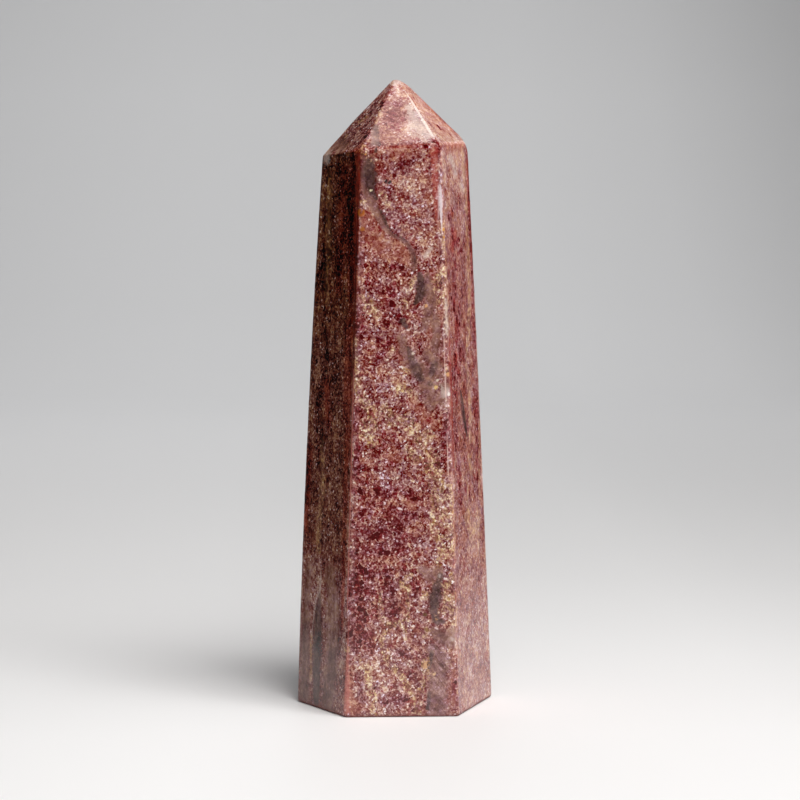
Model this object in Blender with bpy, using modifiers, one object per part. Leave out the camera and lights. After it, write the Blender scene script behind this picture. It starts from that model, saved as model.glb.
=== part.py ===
"""A polished rhodonite point: one piece of stone, ground to a tapered six-sided prism with a six-sided tip.

Metres, +Z up. The origin is the middle of the flat foot, and the widest clean face, the front, looks along -Y.
The stone is made as a cutter makes it: a rough block, one flat cut for each facet, then softened edges.
"""

import math

import bmesh
import bpy
from mathutils import Vector

MM = 0.001

# The sharp point where all the tip facets would meet. Wear brings the finished stone down to 150 mm.
APEX = Vector((0.6, -0.1, 151.2)) * MM
BLANK_SIZE = 400 * MM

# Side facets: the way each one faces, in degrees from the front towards the right, then how far its foot
# stands from the axis in mm, then how many degrees it leans in.
SIDES = {
    "front": (0.0, 21.3, 2.0),
    "front_right": (67.0, 21.25, 2.4),
    "back_right": (120.0, 21.65, 2.35),
    "back": (180.0, 21.3, 2.0),
    "back_left": (247.5, 21.4, 2.5),
    "front_left": (300.0, 21.6, 2.5),
}

# Tip facets: the way each one faces, and its slope from level. They all pass through the apex.
TIP = {
    "tip_front": (-3.0, 46.5),
    "tip_front_right": (65.0, 48.0),
    "tip_back_right": (120.0, 46.0),
    "tip_back": (180.0, 48.0),
    "tip_back_left": (248.0, 50.0),
    "tip_front_left": (297.5, 49.5),
}

# Small places that are worn flat: the way each one faces, its slope, and a point on it in mm.
WORN = {
    "worn_tip": (40.0, 36.0, (0.6, -0.1, 149.9)),
    "worn_right_shoulder": (94.0, 65.0, (17.0, 1.4, 134.6)),
}

# The long edges and the ridges above them are not quite straight: each bows out at its middle, in mm.
BOWS = {
    ("front", "front_right"): 0.35,
    ("front_right", "back_right"): 0.2,
    ("back_right", "back"): 0.3,
    ("back", "back_left"): 0.3,
    ("back_left", "front_left"): 0.65,
    ("front_left", "front"): 0.15,
    ("tip_back_left", "tip_front_left"): 0.35,
}
SIDE_SPAN = (0 * MM, 133 * MM)
TIP_SPAN = (133 * MM, 147 * MM)
SIDE_RINGS = 8
TIP_RINGS = 1

# Facets that miss a shared corner by less than this are brought together there.
CORNER_SLACK = 1.0 * MM

# How wide the long edges are softened, in mm: at the foot, then at the shoulder.
SOFT_LONG = {
    ("front", "front_right"): (0.7, 0.5),
    ("front_right", "back_right"): (1.0, 0.9),
    ("back_right", "back"): (1.0, 0.8),
    ("back", "back_left"): (0.9, 0.7),
    ("back_left", "front_left"): (1.3, 1.0),
    ("front_left", "front"): (1.8, 0.6),
}
SOFT_FOOT = 0.7
SOFT_SHOULDER = 0.45
SOFT_RIDGE = 0.6
SOFT_WORN = 1.2
WIDEST_SOFT = 1.8
SOFT_ROUNDS = 3

FLATS = ["foot", *SIDES, *TIP, *WORN]

STONE_COLOUR = (0.33, 0.09, 0.085, 1.0)
STONE_ROUGHNESS = 0.25


def outward(faces, slope):
    """The direction out of a facet that faces this way and slopes this much from level."""
    faces = math.radians(faces)
    slope = math.radians(slope)
    return Vector((math.sin(faces) * math.sin(slope), -math.cos(faces) * math.sin(slope), math.cos(slope)))


def facet_planes():
    """The foot, sides and tip: each one's name, a point on it, and its outward direction."""
    planes = {"foot": (Vector((0, 0, 0)), Vector((0, 0, -1)))}
    for name, (faces, foot, lean) in SIDES.items():
        planes[name] = (outward(faces, 90) * foot * MM, outward(faces, 90 - lean))
    for name, (faces, slope) in TIP.items():
        planes[name] = (APEX, outward(faces, slope))
    return planes


def worn_planes():
    return {name: (Vector(point) * MM, outward(faces, slope)) for name, (faces, slope, point) in WORN.items()}


def all_of(stone):
    return stone.verts[:] + stone.edges[:] + stone.faces[:]


def grind(stone, flat_of, planes):
    """Takes off everything outside each plane, closes the cut with one flat, and notes which flat it is."""
    for name, (point, direction) in planes.items():
        cut = bmesh.ops.bisect_plane(
            stone, geom=all_of(stone), plane_co=point, plane_no=direction, clear_outer=True
        )
        rim = [item for item in cut["geom_cut"] if isinstance(item, bmesh.types.BMEdge)]
        for face in bmesh.ops.edgenet_fill(stone, edges=rim)["faces"]:
            face[flat_of] = FLATS.index(name)


def add_rings(stone, span, count):
    """Level rings, evenly spaced between two heights, that give the edges something to bow with."""
    low, high = span
    for ring in range(1, count + 1):
        height = low + (high - low) * ring / (count + 1)
        bmesh.ops.bisect_plane(stone, geom=all_of(stone), plane_co=(0, 0, height), plane_no=(0, 0, 1))


def flats_at(item, flat_of):
    """The names of the flats that meet at a point or an edge of the mesh."""
    return {FLATS[face[flat_of]] for face in item.link_faces}


def bow_edges(stone, flat_of):
    """Moves the points along each bowed edge straight out from the axis."""
    for vert in stone.verts:
        for pair, bow in BOWS.items():
            if flats_at(vert, flat_of) != set(pair):
                continue
            low, high = TIP_SPAN if pair[0] in TIP else SIDE_SPAN
            share = min(max((vert.co.z - low) / (high - low), 0), 1)
            out = Vector((vert.co.x, vert.co.y, 0)).normalized()
            vert.co += out * bow * MM * 4 * share * (1 - share)


def softness(names, height):
    """How wide the edge between two flats is softened at this height, in mm."""
    if names & set(WORN):
        return SOFT_WORN
    if "foot" in names:
        return SOFT_FOOT
    for pair, (at_foot, at_shoulder) in SOFT_LONG.items():
        if names == set(pair):
            return at_foot + (at_shoulder - at_foot) * height / SIDE_SPAN[1]
    return SOFT_RIDGE if names <= set(TIP) else SOFT_SHOULDER


def weigh_edges(stone, flat_of):
    """Writes each real edge's softness as a share of the widest. A ring's edges inside one flat stay hard."""
    weight = stone.edges.layers.float.new("bevel_weight_edge")
    for edge in stone.edges:
        names = flats_at(edge, flat_of)
        if len(names) == 2:
            start, end = edge.verts
            edge[weight] = softness(names, (start.co.z + end.co.z) / 2) / WIDEST_SOFT


def polished_stone():
    """Granular rose-red stone with a soft polish."""
    material = bpy.data.materials.new("polished_rhodonite")
    material.use_nodes = True
    shader = material.node_tree.nodes["Principled BSDF"]
    shader.inputs["Base Color"].default_value = STONE_COLOUR
    shader.inputs["Roughness"].default_value = STONE_ROUGHNESS
    shader.inputs["Metallic"].default_value = 0.0
    material.diffuse_color = STONE_COLOUR
    return material


def make_point():
    """The finished stone, in a collection of its own."""
    stone = bmesh.new()
    flat_of = stone.faces.layers.int.new("flat")
    bmesh.ops.create_cube(stone, size=BLANK_SIZE)
    grind(stone, flat_of, facet_planes())
    bmesh.ops.remove_doubles(stone, verts=stone.verts, dist=CORNER_SLACK)
    grind(stone, flat_of, worn_planes())
    bmesh.ops.recalc_face_normals(stone, faces=stone.faces)
    add_rings(stone, SIDE_SPAN, SIDE_RINGS)
    add_rings(stone, TIP_SPAN, TIP_RINGS)
    bow_edges(stone, flat_of)
    weigh_edges(stone, flat_of)
    mesh = bpy.data.meshes.new("rhodonite_point")
    stone.to_mesh(mesh)
    stone.free()
    mesh.materials.append(polished_stone())
    point = bpy.data.objects.new("rhodonite_point", mesh)
    collection = bpy.data.collections.new("rhodonite_point")
    bpy.context.scene.collection.children.link(collection)
    collection.objects.link(point)
    soften = point.modifiers.new("softened_edges", "BEVEL")
    soften.limit_method = "WEIGHT"
    soften.offset_type = "WIDTH"
    soften.width = WIDEST_SOFT * MM
    soften.segments = SOFT_ROUNDS
    soften.use_clamp_overlap = True


for leftover in list(bpy.data.objects):
    bpy.data.objects.remove(leftover)
make_point()
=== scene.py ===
import math

import bmesh
import bpy
import numpy as np
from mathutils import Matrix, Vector, noise
from mathutils.bvhtree import BVHTree


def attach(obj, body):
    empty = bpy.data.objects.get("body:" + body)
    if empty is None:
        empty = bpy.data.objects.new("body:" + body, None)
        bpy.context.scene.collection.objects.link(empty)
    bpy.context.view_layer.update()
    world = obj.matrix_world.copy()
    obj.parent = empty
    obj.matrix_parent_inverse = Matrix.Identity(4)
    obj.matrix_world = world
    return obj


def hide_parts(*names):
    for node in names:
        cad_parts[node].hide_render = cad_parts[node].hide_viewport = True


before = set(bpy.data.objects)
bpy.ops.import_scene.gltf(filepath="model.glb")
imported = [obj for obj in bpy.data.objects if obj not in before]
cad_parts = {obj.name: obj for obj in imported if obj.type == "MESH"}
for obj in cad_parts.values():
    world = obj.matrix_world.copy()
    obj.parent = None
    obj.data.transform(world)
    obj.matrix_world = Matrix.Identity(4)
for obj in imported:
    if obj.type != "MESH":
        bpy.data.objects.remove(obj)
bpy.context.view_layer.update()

mm = 0.001


def shareBetween(value, low, high):
    # 0 below low, 1 above high, and an even S-curve between
    share = np.clip((value - low) / (high - low), 0.0, 1.0)
    return share * share * (3.0 - 2.0 * share)


def linkToScene(thing):
    bpy.context.scene.collection.objects.link(thing)
    return thing


# a small helper for the shader trees below
class Nodes:
    def __init__(self, material):
        material.use_nodes = True
        self.tree = material.node_tree

    def add(self, kind, settings=None, **inputs):
        node = self.tree.nodes.new(kind)
        for name, value in (settings or {}).items():
            setattr(node, name, value)
        for name, value in inputs.items():
            self.plug(node, name, value)
        return node

    def plug(self, node, name, value):
        if isinstance(value, bpy.types.NodeSocket):
            self.tree.links.new(value, node.inputs[name])
        else:
            node.inputs[name].default_value = value

    def reckon(self, kind, operation, *values):
        node = self.add(kind, {"operation": operation})
        for index, value in enumerate(values):
            self.plug(node, index, value)
        return node

    def math(self, operation, *values):
        return self.reckon("ShaderNodeMath", operation, *values).outputs[0]

    def step(self, value, low, high):
        node = self.add("ShaderNodeMapRange", {"interpolation_type": "SMOOTHSTEP"}, Value=value)
        self.plug(node, "From Min", low)
        self.plug(node, "From Max", high)
        return node.outputs["Result"]

    def mixColour(self, share, first, second, blend="MIX"):
        node = self.add("ShaderNodeMix", {"data_type": "RGBA", "blend_type": blend, "clamp_factor": True})
        for index, value in ((0, share), (6, first), (7, second)):      # the sockets it shows for colours
            self.plug(node, index, value)
        return node.outputs[2]

    def attribute(self, name):
        return self.add("ShaderNodeAttribute", {"attribute_name": name}).outputs["Fac"]

    def ramp(self, value, stops):
        node = self.add("ShaderNodeValToRGB", Fac=value)
        band = node.color_ramp
        while len(band.elements) > 1:
            band.elements.remove(band.elements[-1])
        band.elements[0].position = stops[0][0]
        band.elements[0].color = (*stops[0][1], 1.0)
        for place, colour in stops[1:]:
            band.elements.new(place).color = (*colour, 1.0)
        return node.outputs["Color"]


# camera: where the photo was taken from in mm, the way it looks in degrees, and its lens in mm
cameraPlace = {
    "spot": (-24.6, -577.4, 118.65),
    "headsRight": 2.56,
    "looksDown": 4.5,
    "lens": 108.0,
    "sensor": 36.0,
    "seesBetween": (0.01, 20.0),        # m
}


def makeCamera(place):
    lens = bpy.data.cameras.new("camera")
    lens.lens = place["lens"]
    lens.sensor_width = place["sensor"]
    lens.clip_start, lens.clip_end = place["seesBetween"]
    camera = linkToScene(bpy.data.objects.new("camera", lens))
    camera.location = Vector(place["spot"]) * mm
    tilt, turn = math.radians(90.0 - place["looksDown"]), -math.radians(place["headsRight"])
    camera.rotation_euler = (tilt, 0.0, turn)
    bpy.context.scene.camera = camera


makeCamera(cameraPlace)
print("camera ready")


# stage: one pale sheet that lies flat and then sweeps up at the back, with painted shade along and across
# it, and black cards beside the stone
sweep = {
    # in m
    "width": 5.0,
    "front": -2.2,
    "bendStarts": 0.9,
    "bendRadius": 0.7,
    "height": 2.2,
    "bendSteps": 24,
    # painted shade: how pale it is painted at each distance in m, measured back along the floor and then up
    # the wall, darker further back and up the wall, where less light reaches it
    "paintedShades": [(-0.10, 0.823), (-0.04, 0.837), (0.0, 0.830), (0.05, 0.826), (0.11, 0.806), (0.20, 0.782),
               (0.56, 0.778), (0.92, 0.776), (1.07, 0.739), (1.22, 0.703), (1.43, 0.671), (1.61, 0.645),
               (1.76, 0.595)],
    "tint": (1.0, 0.997, 1.003),
    # painted light and shade across the sheet: how much of that is left at each place from left to right in
    # m, as halves:
    # near on the floor, then far away, and the distances between which one turns into the other
    "nearAcross": [(-0.12, 0.535), (-0.05, 0.535), (0.0, 0.505), (0.09, 0.50), (0.13, 0.475), (0.17, 0.465),
                   (0.45, 0.46)],
    "farAcross": [(-0.30, 0.48), (-0.10, 0.50), (0.05, 0.50), (0.16, 0.53), (0.27, 0.52), (0.33, 0.49),
                  (0.38, 0.46), (0.43, 0.43)],
    "nearToFar": (0.3, 1.2),
    "roughness": 0.55,
}
blackCards = {
    # corners in m, seen by the light that bounces but not by the camera, and casting no shadow
    "leftCard": [(-0.085, -0.30, 0.0), (-0.185, 0.50, 0.0), (-0.185, 0.50, 0.45), (-0.085, -0.30, 0.45)],
    "frontCard": [(-0.60, -0.20, 0.004), (0.60, -0.20, 0.004), (0.60, -1.60, 0.004), (-0.60, -1.60, 0.004)],
    "rightCard": [(0.13, -0.02, 0.0), (0.31, 0.85, 0.0), (0.31, 0.85, 0.5), (0.13, -0.02, 0.5)],
}
glossOnlyCards = {"rightCard", "leftCard"}
cardColour = (0.02, 0.02, 0.02, 1.0)


def makeSweep(sheet):
    profile = [(sheet["front"], 0.0), (sheet["bendStarts"], 0.0)]
    for step in range(1, sheet["bendSteps"] + 1):
        turn = 0.5 * math.pi * step / sheet["bendSteps"]
        profile.append((
            sheet["bendStarts"] + sheet["bendRadius"] * math.sin(turn),
            sheet["bendRadius"] * (1.0 - math.cos(turn)),
        ))
    profile.append((sheet["bendStarts"] + sheet["bendRadius"], sheet["height"]))
    form = bmesh.new()
    left, right = [
        [form.verts.new((side * sheet["width"], y, z)) for y, z in profile] for side in (-0.5, 0.5)
    ]
    for index in range(len(profile) - 1):
        form.faces.new((left[index], right[index], right[index + 1], left[index + 1])).smooth = True
    mesh = bpy.data.meshes.new("paleSweep")
    form.to_mesh(mesh)
    form.free()
    mesh.materials.append(makePaper(sheet))
    linkToScene(bpy.data.objects.new("paleSweep", mesh))


def makePaper(sheet):
    material = bpy.data.materials.new("palePaper")
    n = Nodes(material)
    shader = material.node_tree.nodes["Principled BSDF"]
    place = n.add("ShaderNodeSeparateXYZ", Vector=n.add("ShaderNodeTexCoord").outputs["Object"]).outputs
    along = n.math("ADD", place["Y"], place["Z"])

    def shaded(value, paintedShades, tint=(1.0, 1.0, 1.0)):
        low, high = paintedShades[0][0], paintedShades[-1][0]
        stops = [((at - low) / (high - low), tuple(shade * share for share in tint)) for at, shade in paintedShades]
        return n.ramp(n.math("DIVIDE", n.math("SUBTRACT", value, low), high - low), stops)

    # painted light and shade: the paper's colour is paler in some places and darker in others, along the
    # sheet and from side to side, for how light falls on it
    sideways = n.mixColour(n.step(along, *sheet["nearToFar"]), shaded(place["X"], sheet["nearAcross"]),
                           shaded(place["X"], sheet["farAcross"]))
    pale = n.mixColour(1.0, shaded(along, sheet["paintedShades"], sheet["tint"]), sideways, "MULTIPLY")
    n.plug(shader, "Base Color", n.mixColour(1.0, pale, (2.0, 2.0, 2.0, 1.0), "MULTIPLY"))
    shader.inputs["Roughness"].default_value = sheet["roughness"]
    return material


def makeBlackCards(cards):
    material = bpy.data.materials.new("blackBoard")
    material.use_nodes = True
    shader = material.node_tree.nodes["Principled BSDF"]
    shader.inputs["Base Color"].default_value = cardColour
    shader.inputs["Roughness"].default_value = 1.0
    for name, corners in cards.items():
        mesh = bpy.data.meshes.new(name)
        mesh.from_pydata(corners, [], [(0, 1, 2, 3)])
        mesh.materials.append(material)
        board = linkToScene(bpy.data.objects.new(name, mesh))
        board.visible_camera = False
        board.visible_shadow = False
        board.visible_diffuse = name not in glossOnlyCards


makeSweep(sweep)
makeBlackCards(blackCards)
print("stage ready")


# light: each soft box stands this way from the stone, in degrees right of the front and up, so far away in m
softBoxes = {
    "key": {"around": 30.0, "up": 53.0, "away": 0.85, "size": (0.68, 0.68), "power": 11.6,
            "colour": (1.0, 0.985, 0.965)},
    "rightFill": {"around": 84.0, "up": 16.0, "away": 1.2, "size": (0.7, 0.6), "power": 1.4,
                  "colour": (0.98, 0.99, 1.0)},
    "overhead": {"around": 8.0, "up": 82.0, "away": 1.0, "size": (0.7, 0.7), "power": 3.0,
                 "colour": (1.0, 0.99, 0.98), "onlyGloss": True},
}
litPoint = Vector((0.0, 0.0, 0.07))
wallLight = {"spot": (-0.08, 0.74, 0.98), "aim": (-0.06, 1.6, 0.2), "size": (0.5, 0.5), "power": 5.6,
             "colour": (0.98, 0.99, 1.0)}
room = {"seen": (0.5, 0.5, 0.505, 1.0), "felt": (0.022, 0.022, 0.024, 1.0)}


def makeLamp(name, spot, aim, box):
    light = bpy.data.lights.new(name, "AREA")
    light.shape = "RECTANGLE"
    light.size, light.size_y = box["size"]
    light.energy = box["power"]
    light.color = box["colour"]
    lamp = linkToScene(bpy.data.objects.new(name, light))
    lamp.location = spot
    lamp.rotation_euler = (Vector(spot) - Vector(aim)).to_track_quat("Z", "Y").to_euler()
    lamp.visible_camera = False
    lamp.visible_diffuse = not box.get("onlyGloss", False)


def makeSoftBox(name, box):
    around, up = math.radians(box["around"]), math.radians(box["up"])
    out = Vector((math.sin(around) * math.cos(up), -math.cos(around) * math.cos(up), math.sin(up)))
    makeLamp(name, litPoint + out * box["away"], litPoint, box)


def makeRoom(sky):
    world = bpy.data.worlds.new("softRoom")
    bpy.context.scene.world = world
    n = Nodes(world)
    seen = n.add("ShaderNodeLightPath").outputs["Is Camera Ray"]
    n.plug(world.node_tree.nodes["Background"], "Color", n.mixColour(seen, sky["felt"], sky["seen"]))


for name, box in softBoxes.items():
    makeSoftBox(name, box)
makeLamp("wallLight", wallLight["spot"], wallLight["aim"], wallLight)
makeRoom(room)
bpy.context.scene.view_settings.view_transform = "Standard"
bpy.context.scene.view_settings.look = "None"
print("lights ready")


# the stone: a fine even mesh laid on the ground facets, then softened and worn
stoneForm = {
    "grid": 0.52,                   # mm between points
    "edgeTurn": (0.010, 0.05),      # how far the surface turns at a point off the edges, and at one on them
    "edgeSoftening": 0.6,
    "waveHeight": 0.03,             # mm, how far the polished facets are from flat
    "waveLength": 11.0,
    "flatFoot": (0.5, 0.9),         # how far down a surface looks where the waves start to fade, and end
}


def evenMesh(node, spacing):
    whole = bmesh.new()
    whole.from_mesh(node.data)
    bmesh.ops.remove_doubles(whole, verts=whole.verts, dist=1e-6)
    mesh = bpy.data.meshes.new("stoneGrid")
    whole.to_mesh(mesh)
    surface = BVHTree.FromBMesh(whole)
    whole.free()
    blank = linkToScene(bpy.data.objects.new("stoneBlank", mesh))
    remesh = blank.modifiers.new("evenGrid", "REMESH")
    remesh.mode = "VOXEL"
    remesh.voxel_size = spacing * mm
    depsgraph = bpy.context.evaluated_depsgraph_get()
    fine = bpy.data.meshes.new_from_object(blank.evaluated_get(depsgraph))
    bpy.data.objects.remove(blank)
    bpy.data.meshes.remove(mesh)
    return fine, surface


def readVectors(items, name):
    values = np.empty(len(items) * 3, np.float32)
    items.foreach_get(name, values)
    return values.reshape(-1, 3).astype(float)


def writePoints(mesh, points):
    mesh.vertices.foreach_set("co", points.astype(np.float32).ravel())
    mesh.update()


def laidOn(surface, points):
    return np.array([surface.find_nearest(Vector(point))[0] for point in points])


class Neighbours:
    # averages a value over each point's neighbours along the mesh's edges
    def __init__(self, mesh):
        ends = np.empty(len(mesh.edges) * 2, np.int32)
        mesh.edges.foreach_get("vertices", ends)
        self.first, self.second = ends.reshape(-1, 2).T
        self.count = np.bincount(np.concatenate((self.first, self.second)), minlength=len(mesh.vertices))

    def average(self, values):
        flat = values.reshape(len(values), -1)
        total = np.zeros_like(flat)
        for column in range(flat.shape[1]):
            total[:, column] = np.bincount(self.first, flat[self.second, column], len(values))
            total[:, column] += np.bincount(self.second, flat[self.first, column], len(values))
        return (total / self.count[:, None]).reshape(values.shape)


def smoothNoise(points, seed):
    shift = Vector((17.3, -5.1, 9.7)) * seed
    return np.array([noise.noise(Vector(point) + shift) for point in points])


def makeStone(form):
    mesh, surface = evenMesh(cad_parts["rhodonite_point"], form["grid"])
    mesh.name = "rhodoniteStone"
    around = Neighbours(mesh)
    points = laidOn(surface, readVectors(mesh.vertices, "co"))
    writePoints(mesh, points)
    normals = readVectors(mesh.vertex_normals, "vector")
    turn = np.linalg.norm(around.average(normals) - normals, axis=1)
    edge = shareBetween(turn, *form["edgeTurn"])
    edge = np.maximum(edge, around.average(edge))
    points += (around.average(points) - points) * form["edgeSoftening"] * edge[:, None]
    wave = smoothNoise(points / mm / form["waveLength"], 1) * form["waveHeight"] * mm
    wave *= 1.0 - shareBetween(-normals[:, 2], *form["flatFoot"])
    points += normals * wave[:, None] * (1.0 - edge[:, None])
    points[:, 2] = np.maximum(points[:, 2], 0.0)
    writePoints(mesh, points)
    mesh.shade_smooth()
    return mesh, points / mm, normals, edge


stoneMesh, stonePoints, stoneNormals, stoneEdge = makeStone(stoneForm)
print("stone mesh ready:", len(stoneMesh.vertices), "points")


# the facets the photo shows: which way each one faces, its slope from level, and how far its plane is
# from the middle of the foot in mm
facets = {
    "front": (0.0, 88.0, 21.3), "right": (67.0, 87.6, 21.2), "left": (300.0, 87.5, 21.6),
    "tipFront": (-3.0, 46.5, 104.1), "tipRight": (65.0, 48.0, 101.6), "tipLeft": (297.5, 49.5, 97.8),
}
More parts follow.
